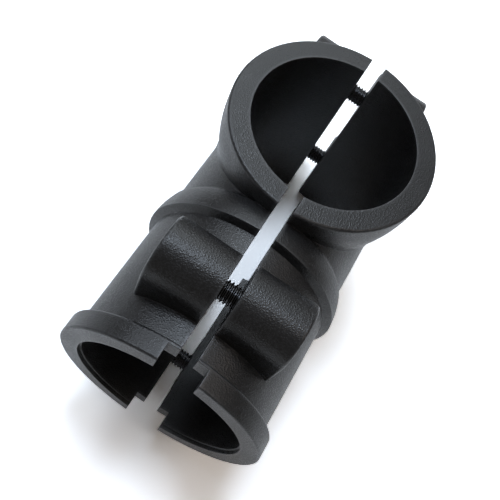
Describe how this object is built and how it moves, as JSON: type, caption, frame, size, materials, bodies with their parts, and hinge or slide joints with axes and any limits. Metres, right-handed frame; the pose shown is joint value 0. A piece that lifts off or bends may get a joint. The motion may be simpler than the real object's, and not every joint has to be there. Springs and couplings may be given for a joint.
{
  "type": "two-piece tube tee connector",
  "caption": "Moulded tee connector split into two clamp halves that screws draw together round a run tube and a leg tube of one diameter.",
  "frame": {"origin": "where the run tube's axis crosses the leg tube's axis, on the plane that splits the halves", "axes": "+Z along the run tube, +X along the leg tube towards its open end, +Y from the half with the screw heads to the half with the nuts"},
  "size_m": [0.1189, 0.0606, 0.0798],
  "materials": {
    "housing": "fine grained moulded black polyamide",
    "screw_steel": "blackened steel",
    "plated_steel": "zinc plated"
  },
  "bodies": {
    "left_side": {"clamp_half_left": "housing", "washer_run_upper": "plated_steel", "washer_run_lower": "plated_steel", "washer_leg_front": "plated_steel", "washer_leg_back": "plated_steel"},
    "right_side": {"clamp_half_right": "housing", "nut_run_upper": "plated_steel", "nut_run_lower": "plated_steel", "nut_leg_front": "plated_steel", "nut_leg_back": "plated_steel"},
    "run_upper_screw": {"screw_run_upper": "screw_steel"},
    "run_lower_screw": {"screw_run_lower": "screw_steel"},
    "leg_front_screw": {"screw_leg_front": "screw_steel"},
    "leg_back_screw": {"screw_leg_back": "screw_steel"}
  },
  "joints": [
    {"name": "right_side_travel", "type": "slide", "parent": "left_side", "child": "right_side", "axis": [0, 1, 0], "range_m": [-0.0043, 0.0025]},
    {"name": "run_upper_turn", "type": "hinge", "parent": "left_side", "child": "run_upper_screw", "pos_m": [-0.0305, 0, 0.0178], "axis": [0, 1, 0], "range_deg": [-900, 1548]},
    {"name": "run_lower_turn", "type": "hinge", "parent": "left_side", "child": "run_lower_screw", "pos_m": [-0.0305, 0, -0.0178], "axis": [0, 1, 0], "range_deg": [-900, 1548]},
    {"name": "leg_front_turn", "type": "hinge", "parent": "left_side", "child": "leg_front_screw", "pos_m": [0.0564, 0, 0.0305], "axis": [0, 1, 0], "range_deg": [-900, 1548]},
    {"name": "leg_back_turn", "type": "hinge", "parent": "left_side", "child": "leg_back_screw", "pos_m": [0.0564, 0, -0.0305], "axis": [0, 1, 0], "range_deg": [-900, 1548]}
  ],
  "couplings": [
    {"joint": "run_upper_turn", "follows": "right_side_travel", "rad_per_m": -6283.2},
    {"joint": "run_lower_turn", "follows": "right_side_travel", "rad_per_m": -6283.2},
    {"joint": "leg_front_turn", "follows": "right_side_travel", "rad_per_m": -6283.2},
    {"joint": "leg_back_turn", "follows": "right_side_travel", "rad_per_m": -6283.2}
  ]
}
